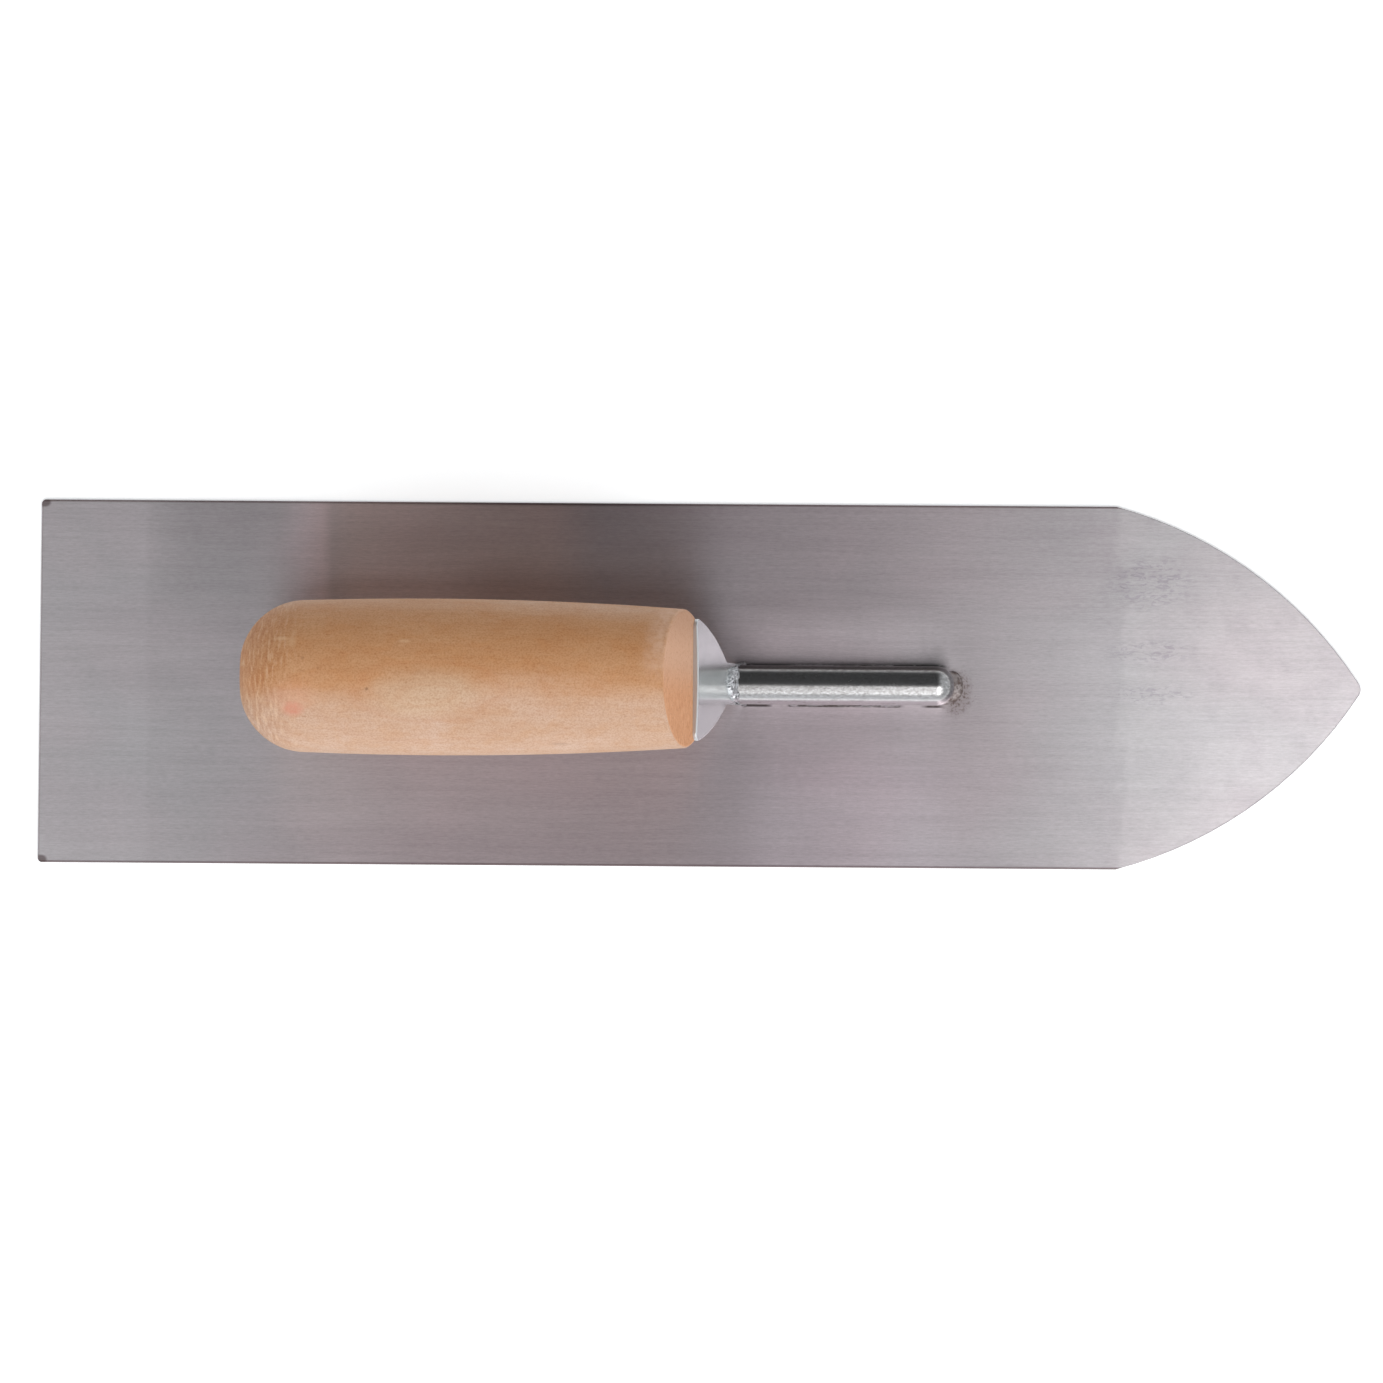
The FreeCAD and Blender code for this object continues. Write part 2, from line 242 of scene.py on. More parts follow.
def brushed_base(tree, place):
    """Colour of the brushed sheet, with a painted warm reflection along its middle, and the height
    of its brushing lines.
    """
    x = split(tree, place)["X"]
    fine = drawn_noise(tree, place, (450, 3000, 3000), roughness=0.7)
    medium = drawn_noise(tree, place, (45, 1300, 1300), roughness=0.65, shift=(3, 1, 0))
    broad = drawn_noise(tree, place, (9, 190, 190), roughness=0.6, shift=(7, 2, 0))
    speckle = noise_node(tree, place, 1900, detail=2, roughness=0.6)
    cloud = noise_node(tree, place, 26, roughness=0.55, distortion=0.8)
    warm = noise_node(tree, scaled(tree, place, (1, 1.7, 1), (0.4, 0.2, 0)), 15, detail=2)
    streak = math_node(tree, "ADD", times(tree, fine, 0.66), times(tree, medium, 0.34))
    middle = between(tree, x, -110 * MM, 75 * MM, 45 * MM)

    base = blend_colour(tree, ramp(tree, streak, 0.36, 0.64), BRUSHED_DARK, BRUSHED_PALE)
    base = tint(tree, ramp(tree, speckle, 0.35, 0.65, 0, 0.5), base, (0.93, 0.93, 0.93, 1))
    # Painted reflection: along the middle of the sheet the colour is tinted pinkish and a little
    # darker, for the grip's warm reflection.
    base = tint(tree, times(tree, middle, 0.95), base, (0.98, 0.90, 0.915, 1))
    base = tint(tree, ramp(tree, warm, 0.38, 0.66, 0, 0.6), base, (1.0, 0.94, 0.95, 1))
    base = tint(tree, ramp(tree, cloud, 0.35, 0.7, 0, 0.75), base, (0.90, 0.925, 0.92, 1))
    base = tint(tree, ramp(tree, broad, 0.4, 0.7, 0, 0.5), base, (0.9, 0.89, 0.9, 1))
    return base, streak


def reflected_steps(tree, place, base):
    """Painted reflection of the soft boxes' edges: steps in tone across the sheet, greyer behind
    the nose and a little darker ahead of the heel.
    """
    x = split(tree, place)["X"]
    ragged = ramp(tree, noise_node(tree, place, 60, 4, 0.6, 0.5), 0.3, 0.7, -3 * MM, 3 * MM)
    grey = ease(tree, math_node(tree, "ADD", x, ragged),
                NOSE_STEP_X + 1.5 * MM, NOSE_STEP_X - 1.5 * MM)
    base = tint(tree, times(tree, grey, 0.8), base, (0.90, 0.89, 0.90, 1))
    body = ease(tree, x, HEEL_STEP_X - 1.2 * MM, HEEL_STEP_X + 1.2 * MM)
    return tint(tree, times(tree, body, 0.6), base, (0.93, 0.92, 0.92, 1))


# The zones of tone in the next two functions are not known wear. They are painted reflection and
# painted shade, standing in for what the sheet reflects; being part of its colour they stay where
# they are from every side.

def far_side_tones(tree, place, base):
    """Painted reflection and shade on the far side: lighter and warmer beside the grip, darker
    towards the rim and both ends.
    """
    x, y, _ = split(tree, place)
    patch = times(tree, ease(tree, x, -118 * MM, -108 * MM),
                  ease(tree, x, -101 * MM, -105 * MM),
                  ease(tree, y, 12 * MM, 26 * MM))
    base = tint(tree, patch, base, (1.3, 1.24, 1.25, 1))
    warm_zone = times(tree, between(tree, x, -103 * MM, -35 * MM, 10 * MM),
                      ease(tree, y, 14 * MM, 26 * MM), 0.8)
    base = tint(tree, warm_zone, base, (1.32, 1.16, 1.06, 1))
    grip_zone = times(tree, between(tree, x, -104 * MM, -66 * MM, 14 * MM),
                      ease(tree, y, 40 * MM, 29 * MM),
                      ease(tree, y, 12 * MM, 22 * MM))
    base = tint(tree, grip_zone, base, (1.30, 1.34, 1.36, 1))
    rim_zone = times(tree, ease(tree, y, 30 * MM, 52 * MM),
                     between(tree, x, -60 * MM, -20 * MM, 45 * MM))
    base = tint(tree, rim_zone, base, (0.54, 0.52, 0.52, 1))
    ends = math_node(tree, "MAXIMUM", ease(tree, x, 65 * MM, 115 * MM),
                     between(tree, x, -147 * MM, -120 * MM, 8 * MM))
    end_zones = times(tree, ease(tree, y, 5 * MM, 35 * MM), ends)
    return tint(tree, end_zones, base, (0.87, 0.87, 0.87, 1))


def bar_side_tones(tree, place, base):
    """Painted reflection: lighter beside the bar, and on the near side ahead of the grip."""
    x, y, _ = split(tree, place)
    beside = between(tree, x, 14 * MM, 66 * MM, 9 * MM)
    beyond_bar = times(tree, beside, ease(tree, y, 24 * MM, 5 * MM), ramp(tree, y, 0, 4 * MM))
    base = tint(tree, beyond_bar, base, (1.72, 1.75, 1.75, 1))
    base = tint(tree, times(tree, beside, ramp(tree, y, -2 * MM, -6 * MM)), base,
                (1.12, 1.12, 1.13, 1))
    ahead = times(tree, ease(tree, y, -10 * MM, -30 * MM),
                  between(tree, x, 5 * MM, 75 * MM, 22 * MM))
    return tint(tree, ahead, base, (1.13, 1.13, 1.14, 1))


def nose_marks(tree, place, base):
    """Cloudy tone over the nose, and a few smudges where it starts."""
    x = split(tree, place)["X"]
    bloom = ramp(tree, noise_node(tree, place, 130, 3, 0.6, 0.6), 0.38, 0.68)
    nose = ramp(tree, x, NOSE_STEP_X - 30 * MM, NOSE_STEP_X + 15 * MM)
    base = tint(tree, times(tree, bloom, nose), base, (0.93, 0.92, 0.93, 1))
    for centre_y, half_width in SMUDGES:
        centre = (NOSE_STEP_X + 8 * MM, centre_y, BLADE_TOP)
        here = spot(tree, place, centre, (SMUDGE_HALF_LENGTH, half_width, 5 * MM), soft=0.4)
        ridges = drawn_noise(tree, place, (350, 900, 1), roughness=0.6, distortion=1.2)
        ink = times(tree, here, ramp(tree, ridges, 0.50, 0.60), 0.85)
        base = tint(tree, ink, base, (0.80, 0.78, 0.82, 1))
    return base


def bar_lines(tree, place, base):
    """Dark line on each side of the bar, the far one painted shade and the near one broken, and the
    burn at its toe.
    """
    x, y, _ = split(tree, place)
    grit = drawn_noise(tree, place, (320, 1100, 1), detail=4, roughness=0.65)
    along = between(tree, x, BAR_LOW.x + 3 * MM, BAR_HIGH.x - 3 * MM, 1.5 * MM)
    # The dark line on the far side is painted shade where the bar meets the sheet.
    far = between(tree, y, BAR_RADIUS - 0.4 * MM, BAR_RADIUS + 0.5 * MM, 0.3 * MM)
    base = blend_colour(tree, times(tree, along, far, ramp(tree, grit, 0.3, 0.45), 0.85), base,
                        (0.035, 0.028, 0.026, 1))
    near = between(tree, y, -BAR_RADIUS - 0.45 * MM, -BAR_RADIUS + 0.3 * MM, 0.18 * MM)
    broken = ramp(tree, drawn_noise(tree, place, (110, 1, 1), detail=2), 0.42, 0.5)
    base = blend_colour(tree, times(tree, along, near, broken, 0.9), base, (0.05, 0.04, 0.038, 1))

    burn = spot(tree, place, BURN_CENTRE, (4.2 * MM, 5.6 * MM, 5 * MM), soft=0.35)
    base = blend_colour(tree, times(tree, burn, 0.35), base, rgb(140, 126, 122))
    speck = ramp(tree, noise_node(tree, place, 1500, roughness=0.7), 0.50, 0.62)
    base = blend_colour(tree, times(tree, burn, speck, 0.75), base, rgb(96, 76, 70))
    outer = spot(tree, place, BURN_CENTRE, (6.2 * MM, 6.6 * MM, 5 * MM))
    stray = ramp(tree, noise_node(tree, place, 1700, detail=2, roughness=0.6), 0.64, 0.72)
    return blend_colour(tree, times(tree, outer, stray, 0.6), base, rgb(100, 84, 80))


def rim_and_shade_marks(tree, place, base):
    """Darker rim, darkest on the far side by the grip where it is painted shade, and a painted
    shadow in each heel corner.
    """
    x, y, _ = split(tree, place)
    half_width = BLADE_HIGH.y
    side = math_node(tree, "ABSOLUTE", y)
    rim = ramp(tree, side, half_width - 0.75 * MM, half_width - 0.35 * MM)
    base = blend_colour(tree, times(tree, rim, 0.72), base, (0.13, 0.085, 0.085, 1))
    # Painted shade: the far rim is darker still beside the grip.
    far_rim_shade = times(tree, ramp(tree, y, half_width - 1.1 * MM, half_width - 0.5 * MM),
                    between(tree, x, -60 * MM, -20 * MM, 45 * MM), 0.8)
    base = blend_colour(tree, far_rim_shade, base, (0.05, 0.035, 0.035, 1))
    heel = ramp(tree, x, BLADE_LOW.x + 0.6 * MM, BLADE_LOW.x + 0.25 * MM)
    base = blend_colour(tree, times(tree, heel, 0.5), base, (0.16, 0.13, 0.13, 1))
    # Painted shadow: a dark nick in each heel corner.
    for hand in (-1, 1):
        corner = (BLADE_LOW.x + 0.8 * MM, hand * (half_width - 0.8 * MM), BLADE_TOP)
        nick = spot(tree, place, corner, (1.7 * MM, 1.2 * MM, 3 * MM), soft=0.3)
        base = blend_colour(tree, times(tree, nick, 0.7), base, (0.10, 0.065, 0.065, 1))
    return base


def blade_material():
    """Thin sheet steel, brushed lengthwise, with its zones of tone and its marks."""
    material, tree, shader, place = make_tree("brushed_blade_steel")
    base, streak = brushed_base(tree, place)
    for mark in (reflected_steps, far_side_tones, bar_side_tones, nose_marks, bar_lines, rim_and_shade_marks):
        base = mark(tree, place, base)
    shader.inputs["Metallic"].default_value = 1.0
    shader.inputs["Anisotropic"].default_value = 0.92
    put(tree, shader.inputs["Tangent"], brush_tangent(tree, (1, 0, 0)))
    finish_surface(tree, shader, base, ramp(tree, streak, 0.3, 0.7, 0.345, 0.385),
                   bump(tree, streak, 0.15, 0.012 * MM))
    return material


# ----------------------------------------------------------------- plated steel

def plated_material():
    """Plated bar with draw lines, pits and rust specks; the pale near flank is painted reflection
    and the dark far flank painted shade.
    """
    material, tree, shader, place = make_tree("plated_bar")
    y = split(tree, place)["Y"]
    draw = drawn_noise(tree, place, (80, 1900, 1900), detail=4, roughness=0.65)
    mottle = drawn_noise(tree, place, (800, 1500, 1500), detail=4, roughness=0.7)
    pits = ramp(tree, drawn_noise(tree, place, (700, 1500, 1500), roughness=0.6), 0.58, 0.68)
    rust = ramp(tree, drawn_noise(tree, place, (260, 800, 800), roughness=0.6), 0.56, 0.64)
    # Painted light: the near flank is lightened as painted reflection, the far flank darkened as
    # painted shade.
    near = ramp(tree, y, -0.5 * BAR_RADIUS, -0.8 * BAR_RADIUS)
    far_flank_shade = times(tree, ramp(tree, y, 0.5 * BAR_RADIUS, 0.8 * BAR_RADIUS),
                      ramp(tree, draw, 0.3, 0.6, 0.7, 1.0))

    base = blend_colour(tree, ramp(tree, mottle, 0.35, 0.65), (0.52, 0.51, 0.51, 1),
                        (0.27, 0.26, 0.255, 1))
    base = blend_colour(tree, times(tree, pits, 0.6), base, (0.24, 0.22, 0.22, 1))
    base = blend_colour(tree, times(tree, near, 0.8), base, (0.74, 0.72, 0.73, 1))
    base = blend_colour(tree, times(tree, near, rust, 0.25), base, (0.13, 0.095, 0.08, 1))
    base = blend_colour(tree, times(tree, far_flank_shade, 0.75), base, (0.12, 0.105, 0.10, 1))
    shader.inputs["Metallic"].default_value = 1.0
    lines = bump(tree, draw, 0.3, 0.02 * MM)
    finish_surface(tree, shader, base, ramp(tree, mottle, 0.3, 0.7, 0.15, 0.28),
                   bump(tree, mottle, 0.3, 0.025 * MM, lines))
    return material


def plate_material():
    """Plating on the neck plate: smoother and a little blue; rougher at its edge, where painted
    shade darkens the colour.
    """
    material, tree, shader, place = make_tree("smooth_plate")
    mottle = noise_node(tree, place, 260, detail=4, roughness=0.6)
    grain = drawn_noise(tree, place, (400, 1600, 400), roughness=0.6)
    turned = math_node(tree, "ABSOLUTE", facing_front(tree))
    # Painted shade: the colour is darkened along the plate's edge, dimming its highlight; the edge
    # is also rougher.
    edge = ramp(tree, turned, 0.97, 0.85)
    base = blend_colour(tree, ramp(tree, mottle, 0.3, 0.7), (0.90, 0.93, 0.93, 1),
                        (0.80, 0.83, 0.83, 1))
    base = blend_colour(tree, edge, base, (0.58, 0.59, 0.60, 1))
    shader.inputs["Metallic"].default_value = 0.9
    smooth = ramp(tree, grain, 0.3, 0.7, 0.13, 0.18)
    finish_surface(tree, shader, base, math_node(tree, "ADD", smooth, times(tree, edge, 0.3)),
                   bump(tree, mottle, 0.12, 0.04 * MM))
    return material


def tang_material():
    """Plain drawn steel rod."""
    material, tree, shader, place = make_tree("drawn_steel")
    draw = drawn_noise(tree, place, (40, 1800, 1800), roughness=0.6)
    base = blend_colour(tree, ramp(tree, draw, 0.3, 0.7), (0.42, 0.41, 0.40, 1),
                        (0.56, 0.55, 0.54, 1))
    shader.inputs["Metallic"].default_value = 1.0
    finish_surface(tree, shader, base, ramp(tree, draw, 0.3, 0.7, 0.3, 0.45),
                   bump(tree, draw, 0.2, 0.02 * MM))
    return material


# ------------------------------------------------------------------ weld metal

def weld_material():
    """Plated weld metal: bright, with scattered dark patches; darker along the flanks as painted
    shade.
    """
    material, tree, shader, place = make_tree("plated_weld")
    y = split(tree, place)["Y"]
    ripple = noise_node(tree, place, 900, roughness=0.6)
    blots = ramp(tree, noise_node(tree, place, 420, 4, 0.6, 0.4), 0.58, 0.72)
    # Painted shade: the flanks of the weld are darkened in the colour.
    flank = ramp(tree, math_node(tree, "ABSOLUTE", y), 4.4 * MM, 5.8 * MM)
    base = blend_colour(tree, times(tree, blots, 0.6), (0.62, 0.62, 0.635, 1),
                        (0.16, 0.14, 0.13, 1))
    base = blend_colour(tree, times(tree, flank, 0.8), base, (0.30, 0.285, 0.29, 1))
    shader.inputs["Metallic"].default_value = 0.95
    finish_surface(tree, shader, base, ramp(tree, ripple, 0.3, 0.7, 0.28, 0.45),
                   bump(tree, ripple, 0.5, 0.08 * MM))
    return material


def dull_weld_material():
    """Small beads beside the bar, stained the grey-brown of the sheet around them."""
    material, tree, shader, place = make_tree("stained_weld")
    ripple = noise_node(tree, place, 1100, roughness=0.6)
    stain = drawn_noise(tree, place, (160, 500, 500), roughness=0.6)
    base = blend_colour(tree, ramp(tree, stain, 0.42, 0.6), (0.40, 0.375, 0.385, 1),
                        (0.10, 0.085, 0.08, 1))
    shader.inputs["Metallic"].default_value = 0.9
    finish_surface(tree, shader, base, ramp(tree, ripple, 0.3, 0.7, 0.40, 0.55),
                   bump(tree, ripple, 0.3, 0.06 * MM))
    return material


def scorch_material():
    """Burnt weld metal: brown oxide with grey showing through."""
    material, tree, shader, place = make_tree("scorched_weld")
    grain = noise_node(tree, place, 1500, detail=4, roughness=0.65)
    patch = noise_node(tree, place, 600, roughness=0.6)
    base = blend_colour(tree, ramp(tree, patch, 0.4, 0.62), rgb(104, 90, 86), rgb(160, 150, 148))
    base = blend_colour(tree, ramp(tree, grain, 0.55, 0.7), base, rgb(72, 56, 51))
    shader.inputs["Metallic"].default_value = 0.5
    finish_surface(tree, shader, base, ramp(tree, grain, 0.3, 0.7, 0.45, 0.75),
                   bump(tree, grain, 0.5, 0.12 * MM))
    return material


# ------------------------------------------------------------------------ wood

# The growth rings show as ovals round this place on top of the grip.
RING_CENTRE = (HANDLE_LOW.x + 50 * MM, -4.5 * MM, HANDLE_HIGH.z)
RING_SIZE = (17 * MM, 6.5 * MM, 30 * MM)

BLUSH = rgb(196, 116, 92)
PALE_BLUSH = rgb(206, 146, 120)
BARE_WOOD = rgb(212, 174, 136)
PALE_BARE_WOOD = rgb(214, 176, 138)
PIN_KNOT = rgb(120, 78, 48)
DENT = rgb(138, 94, 62)
SCUFF = rgb(130, 96, 70)
# Middle (X, Y), half length and half width in mm, strength, and colour of each mark.
WOOD_MARKS = (
    (-106.6, -9.2, 2.4, 1.7, 0.62, BLUSH),
    (-107.0, -6.0, 5.5, 3.5, 0.25, PALE_BLUSH),
    (-87.2, -4.0, 0.45, 0.35, 0.70, PIN_KNOT),
    (-77.5, 8.6, 1.5, 0.4, 0.40, PALE_BARE_WOOD),
    (-110.0, 9.2, 1.7, 0.5, 0.40, BARE_WOOD),
    (-107.0, 8.2, 1.2, 1.3, 0.30, BARE_WOOD),
    (-104.0, 4.0, 0.45, 0.4, 0.45, DENT),
    (-100.0, 1.5, 0.4, 0.3, 0.35, DENT),
    (-37.0, -17.8, 2.4, 0.3, 0.40, SCUFF),
)
MARK_HALF_DEPTH = 30 * MM


def ring_figure(tree, place, base):
    """A pale middle with growth rings round it, in long ovals."""
    offset = vector_node(tree, "SUBTRACT", place, RING_CENTRE)
    oval = vector_node(tree, "LENGTH", vector_node(tree, "DIVIDE", offset, RING_SIZE))
    warp = drawn_noise(tree, place, (35, 110, 110), roughness=0.55)
    reach = math_node(tree, "ADD", oval, ramp(tree, warp, 0.25, 0.75, -0.25, 0.25))
    base = blend_colour(tree, ease(tree, reach, 1.1, 0.4, 0.6), base, rgb(198, 170, 143))
    ring = math_node(tree, "PINGPONG", times(tree, reach, 1.3), 0.5)
    line = times(tree, ease(tree, ring, 0.3, 0.5), ramp(tree, reach, 3.4, 1.0), 0.3)
    return tint(tree, line, base, (0.94, 0.80, 0.70, 1))


def wood_figure(tree, place):
    """Long-grain colour of the grip, with its fibres and flecks."""
    y = split(tree, place)["Y"]
    fibre = drawn_noise(tree, place, (70, 1000, 1000), detail=4, roughness=0.65)
    fleck = drawn_noise(tree, place, (700, 2000, 2000), roughness=0.65)
    speckle = noise_node(tree, place, 2100, detail=2, roughness=0.6)
    cloud = noise_node(tree, scaled(tree, place, (1, 1.7, 1.7)), 42, 3, 0.55, 0.6)
    blotch = noise_node(tree, scaled(tree, place, (1, 1.6, 1.6)), 150, 4, 0.65, 0.5)
    base = blend_colour(tree, ramp(tree, cloud, 0.32, 0.68), rgb(194, 154, 123),
                        rgb(199, 163, 137))

    # The wood is warmer and darker on the far side of the grip, and paler on the near side.
    wander = ramp(tree, drawn_noise(tree, place, (14, 60, 60)), 0.3, 0.7, -4 * MM, 4 * MM)
    warm_band = between(tree, math_node(tree, "ADD", y, wander), -3 * MM, 20.5 * MM, 4 * MM)
    base = tint(tree, times(tree, warm_band, 0.85), base, (0.93, 0.75, 0.50, 1))
    base = tint(tree, ease(tree, y, -2 * MM, -13 * MM), base, (0.95, 1.02, 1.13, 1))

    base = tint(tree, ramp(tree, blotch, 0.45, 0.62, 0, 0.6), base, (0.97, 0.88, 0.76, 1))
    base = ring_figure(tree, place, base)
    base = tint(tree, ramp(tree, fibre, 0.35, 0.7, 0, 0.5), base, (0.88, 0.80, 0.72, 1))
    base = tint(tree, ramp(tree, speckle, 0.42, 0.66, 0, 0.75), base, (0.80, 0.70, 0.60, 1))
    base = tint(tree, ramp(tree, fleck, 0.58, 0.72, 0, 0.5), base, (0.72, 0.58, 0.44, 1))
    return base, fibre, fleck


def wood_marks(tree, place, base):
    """Turning lines at the butt, a blush, a pin knot and small dents."""
    x = split(tree, place)["X"]
    turned = ease(tree, x, HANDLE_LOW.x + 22 * MM, HANDLE_LOW.x + 4 * MM)
    lathe = drawn_noise(tree, place, (1300, 260, 260), roughness=0.6)
    base = tint(tree, times(tree, turned, ramp(tree, lathe, 0.45, 0.66), 0.7), base,
                (0.78, 0.62, 0.50, 1))
    base = blend_colour(tree, times(tree, turned, ramp(tree, lathe, 0.46, 0.3), 0.5), base,
                        rgb(214, 180, 150))
    grit = noise_node(tree, place, 900, roughness=0.65)
    patchy = ramp(tree, grit, 0.3, 0.6, 0.55, 1.0)
    for mark_x, mark_y, half_length, half_width, strength, colour in WOOD_MARKS:
        centre = (mark_x * MM, mark_y * MM, HANDLE_HIGH.z)
        size = (half_length * MM, half_width * MM, MARK_HALF_DEPTH)
        here = times(tree, spot(tree, place, centre, size, soft=0.6), patchy, strength)
        base = blend_colour(tree, here, base, colour)
    return base


def sawn_colour(tree, place):
    """Colour of the open end grain: orange on the near side, then paler, with painted shade
    darkening the far edge.
    """
    y = split(tree, place)["Y"]
    end_grain = drawn_noise(tree, place, (1100, 450, 1100), detail=4, roughness=0.65)
    pores = noise_node(tree, place, 1700, detail=2, roughness=0.6)
    colour = blend_colour(tree, ramp(tree, end_grain, 0.33, 0.67), rgb(200, 138, 94),
                          rgb(218, 162, 122))
    colour = blend_colour(tree, ease(tree, y, -6 * MM, 6 * MM, 0.8), colour, rgb(206, 164, 136))
    # Painted shade: the far edge of the sawn face is darkened in the colour.
    colour = tint(tree, ease(tree, y, 6 * MM, 17 * MM, 0.8), colour, (0.72, 0.70, 0.68, 1))
    return blend_colour(tree, ramp(tree, pores, 0.55, 0.7, 0, 0.5), colour, rgb(168, 112, 76))


def pale_rim(tree, place, base):
    """Paler wood just behind the front edge on the far side."""
    y = split(tree, place)["Y"]
    from_front = vector_node(tree, "SUBTRACT", place, (HANDLE_HIGH.x, 0, HANDLE_LOW.z))
    behind = vector_node(tree, "DOT_PRODUCT", from_front, FRONT_FACING)
    patchy = ramp(tree, noise_node(tree, place, 600, roughness=0.65), 0.35, 0.6, 0.35, 1.0)
    pale = times(tree, ease(tree, behind, -6 * MM, -0.5 * MM),
                 ease(tree, y, -4 * MM, 6 * MM), patchy, 0.7)
    return blend_colour(tree, pale, base, rgb(208, 168, 142))


def wood_material():
    """Pale turned hardwood with a satin face; the sawn front shows end grain."""
    material, tree, shader, place = make_tree("turned_hardwood")
    base, fibre, fleck = wood_figure(tree, place)
    base = pale_rim(tree, place, wood_marks(tree, place, base))
    sawn = ramp(tree, facing_front(tree), 0.80, 0.98)
    base = blend_colour(tree, sawn, base, sawn_colour(tree, place))
    shader.inputs["Specular IOR Level"].default_value = 0.35
    grain = bump(tree, fibre, 0.25, 0.06 * MM)
    finish_surface(tree, shader, base, ramp(tree, fleck, 0.3, 0.7, 0.48, 0.65),
                   bump(tree, fleck, 0.3, 0.06 * MM, grain))
    return material


def give(node, material):
    """Put a material in every slot of a CAD node."""
    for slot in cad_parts[node].material_slots:
        slot.material = material


# ----------------------------------------------------------------------- beads

BEAD_GRAIN = 0.22 * MM
# Share of the swell that is even, and that comes in coarse and in fine lumps.
EVEN_SWELL = 0.4
COARSE_SWELL = 0.7
FINE_SWELL = 0.3
FINE_LUMP_RATIO = 2.7
# How far a ripple bends back towards the bead's sides.
RIPPLE_BEND = 0.8
# The bead round the bar's end lies close along the bar's sides.
FLANK_START = 3.8 * MM
FLANK_RUN = 1.4 * MM
FLANK_PULL = -0.25 * MM
SHEET_GAP = 0.01 * MM


def remeshed_copy(name, node):
    """A fine, even copy of a CAD bead's mesh, as a new object."""
    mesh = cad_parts[node].data.copy()
    bead = bpy.data.objects.new(name, mesh)
    bpy.context.scene.collection.objects.link(bead)
    remesh = bead.modifiers.new("remesh", "REMESH")
    remesh.mode = "VOXEL"
    remesh.voxel_size = BEAD_GRAIN
    graph = bpy.context.evaluated_depsgraph_get()
    fine = bpy.data.meshes.new_from_object(bead.evaluated_get(graph))
    bead.modifiers.clear()
    bead.data = fine
    bpy.data.meshes.remove(mesh)
    return bead


def swell_at(place, lump, swell, ripple_pitch, ripple_depth):
    """How far a bead's surface stands out at one place."""
    spot_in_lumps = place / lump
    push = swell * (EVEN_SWELL + noise.noise(spot_in_lumps) * COARSE_SWELL
                    + noise.noise(spot_in_lumps * FINE_LUMP_RATIO) * FINE_SWELL)
    if ripple_pitch:
        bend = abs(place.y) * RIPPLE_BEND
        push += ripple_depth * math.sin((place.x + bend) / ripple_pitch * math.tau)
    elif place.x < BAR_HIGH.x - BAR_RADIUS:
        flank = min(max((abs(place.y) - FLANK_START) / FLANK_RUN, 0.0), 1.0)
        push += (FLANK_PULL - push) * flank
    return push


def sculpt_bead(name, node, material, lump, swell, ripple_pitch=0.0, ripple_depth=0.0):
    """A copy of a CAD bead, made lumpy or rippled as laid metal is."""
    bead = remeshed_copy(name, node)
    for vertex in bead.data.vertices:
        push = swell_at(vertex.co, lump, swell, ripple_pitch, ripple_depth)
        vertex.co += vertex.normal * push
        vertex.co.z = max(vertex.co.z, BLADE_TOP + SHEET_GAP)
    for face in bead.data.polygons:
        face.use_smooth = True
    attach(bead, "root")
    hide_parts(node)
    bead.data.materials.clear()
    bead.data.materials.append(material)


def make_beads():
    """Every weld, with its own finish."""
    bright = weld_material()
    dull = dull_weld_material()
    scorch = scorch_material()
    sculpt_bead("knuckle_bead", "knuckle_weld", bright, 1.7 * MM, 1.0 * MM)
    sculpt_bead("heel_bead", "heel_weld", bright, 2.0 * MM, 0.35 * MM)
    for side in ("left", "right"):
        sculpt_bead("side_bead_" + side, "side_weld_" + side, dull,
                    1.6 * MM, 0.2 * MM, ripple_pitch=1.5 * MM, ripple_depth=0.09 * MM)
    sculpt_bead("toe_bead", "toe_weld", scorch, 1.6 * MM, 0.25 * MM)


# --------------------------------------------------------------- floor, lights

FLOOR_HALF_WIDTH = 2.5
FLOOR_STEPS = 24
FLOOR_DROP = 0.2 * MM


def floor_material():
    """Matt white studio paper."""
    material, tree, shader, place = make_tree("white_paper")
    tooth = noise_node(tree, place, 900, roughness=0.6)
    base = blend_colour(tree, ramp(tree, tooth, 0.3, 0.7), (0.90, 0.90, 0.90, 1),
                        (0.93, 0.93, 0.93, 1))
    put(tree, shader.inputs["Base Color"], base)
    put(tree, shader.inputs["Roughness"], ramp(tree, tooth, 0.3, 0.7, 0.8, 0.9))
    shader.inputs["Specular IOR Level"].default_value = 0.1
    shader.inputs["Emission Color"].default_value = (1, 1, 1, 1)
    shader.inputs["Emission Strength"].default_value = 0.3
    return material


def make_floor():
    """A wide sheet of paper just under the blade."""
    mesh = bpy.data.meshes.new("floor")
    form = bmesh.new()
    marks = [(step / FLOOR_STEPS * 2 - 1) * FLOOR_HALF_WIDTH for step in range(FLOOR_STEPS + 1)]
    grid = [[form.verts.new((x, y, -FLOOR_DROP)) for x in marks] for y in marks]
    for low, high in zip(grid, grid[1:]):
        for column in range(FLOOR_STEPS):
            form.faces.new((low[column], low[column + 1], high[column + 1], high[column]))
    form.to_mesh(mesh)
    form.free()
    for face in mesh.polygons:
        face.use_smooth = True
    floor = bpy.data.objects.new("floor", mesh)
    bpy.context.scene.collection.objects.link(floor)
    mesh.materials.append(floor_material())


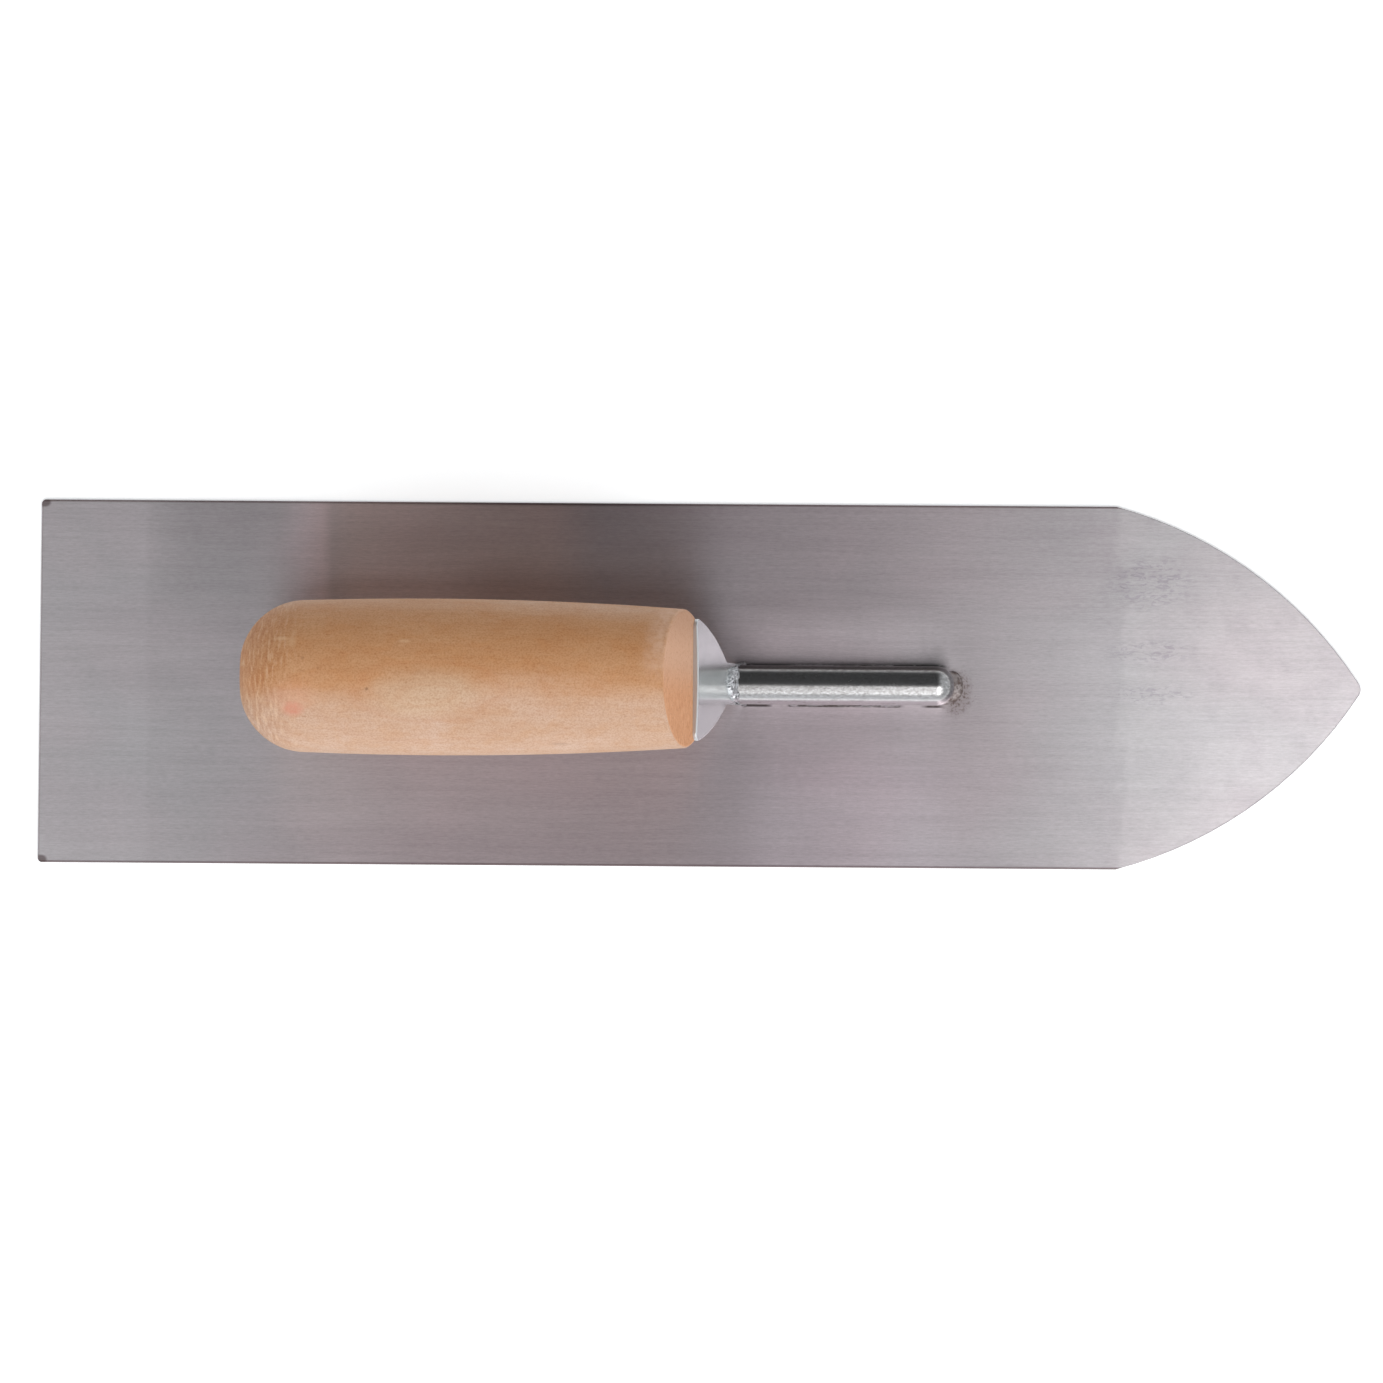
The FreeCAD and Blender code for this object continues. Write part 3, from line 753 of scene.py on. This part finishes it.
def aim(obj, target):
    """Turn a light to look at a point."""
    direction = Vector(target) - obj.location
    obj.rotation_euler = direction.to_track_quat("-Z", "Y").to_euler()


def soft_light(name, location, size, radiance, target):
    """A rectangular soft box with a given brightness, aimed at a point."""
    data = bpy.data.lights.new(name, "AREA")
    data.shape = "RECTANGLE"
    data.size, data.size_y = size
    data.energy = radiance * math.pi * size[0] * size[1]
    light = bpy.data.objects.new(name, data)
    light.location = location
    bpy.context.scene.collection.objects.link(light)
    aim(light, target)


ROOM_COLOUR = (0.93, 0.97, 1.0, 1)
ROOM_LEAST = 0.06
ROOM_MOST = 0.85
# Axis of the direction, where on it each glow of the room starts and is full, and strength.
ROOM_GLOWS = (
    ("Z", 0.25, 0.02, 0.6),
    ("Y", 0.1, -0.7, 0.3),
    ("Y", -0.45, -0.85, 0.6),
    ("X", 0.03, 0.65, 0.75),
    ("X", -0.03, -0.5, 0.25),
    ("X", -0.3, -0.7, 0.35),
)


def make_world():
    """A pale room: brighter low down, on the key side and at both ends, dim overhead."""
    world = bpy.data.worlds.new("studio")
    bpy.context.scene.world = world
    world.use_nodes = True
    tree = world.node_tree
    tree.nodes.clear()
    output = tree.nodes.new("ShaderNodeOutputWorld")
    sky = tree.nodes.new("ShaderNodeBackground")
    tree.links.new(sky.outputs[0], output.inputs["Surface"])
    direction = split(tree, tree.nodes.new("ShaderNodeTexCoord").outputs["Generated"])
    total = ROOM_LEAST
    for axis, start, full, strength in ROOM_GLOWS:
        glow = ease(tree, direction[axis], start, full, strength)
        total = math_node(tree, "ADD", glow, total)
    put(tree, sky.inputs["Strength"], math_node(tree, "MINIMUM", total, ROOM_MOST))
    sky.inputs["Color"].default_value = ROOM_COLOUR


KEY_DISTANCE = 1.7
KEY_HEIGHT_ANGLE = math.radians(58)
KEY_DEPTH = 1.6
# Ends along X and brightness of the panels that make the key.
KEY_PANELS = (
    ("key_heel", -1.35, -0.38, 1.9),
    ("key_heel_side", -0.38, -0.17, 1.45),
    ("key_middle", -0.17, 0.02, 0.55),
    ("key_nose_side", 0.02, 0.27, 0.8),
    ("key_nose", 0.27, 0.72, 4.7),
    ("key_far_nose", 0.72, 1.35, 1.25),
)


def make_lights():
    """The room, and a long row of soft boxes on the near side, brightest at the nose."""
    make_world()
    near = -KEY_DISTANCE * math.cos(KEY_HEIGHT_ANGLE)
    height = KEY_DISTANCE * math.sin(KEY_HEIGHT_ANGLE)
    for name, start, end, radiance in KEY_PANELS:
        middle = (start + end) / 2
        soft_light(name, (middle, near, height), (end - start, KEY_DEPTH), radiance,
                   target=(middle, 0, 0))


# ---------------------------------------------------------------------- camera

SENSOR_WIDTH = 36.0
VIEW_WIDTH = 0.381
VIEW_DISTANCE = 1.25
VIEW_TILT = math.radians(2.0)
VIEW_ROLL = math.radians(0.4)
VIEW_CENTRE = Vector((-2.4 * MM, -1.8 * MM, BLADE_TOP))


def make_camera():
    """Looks almost straight down, a little from the near side."""
    data = bpy.data.cameras.new("camera")
    data.sensor_width = SENSOR_WIDTH
    data.lens = SENSOR_WIDTH * VIEW_DISTANCE / VIEW_WIDTH
    data.dof.use_dof = False
    camera = bpy.data.objects.new("camera", data)
    back = Vector((0, -math.sin(VIEW_TILT), math.cos(VIEW_TILT)))
    camera.location = VIEW_CENTRE + back * VIEW_DISTANCE
    turn = Matrix.Rotation(VIEW_TILT, 3, "X") @ Matrix.Rotation(VIEW_ROLL, 3, "Z")
    camera.rotation_euler = turn.to_euler()
    bpy.context.scene.collection.objects.link(camera)
    bpy.context.scene.camera = camera


bpy.context.scene.view_settings.view_transform = "Standard"

make_camera()
make_lights()
make_floor()

give("blade", blade_material())
give("foot_bar", plated_material())
give("neck_plate", plate_material())
give("tang", tang_material())
give("handle", wood_material())
make_beads()
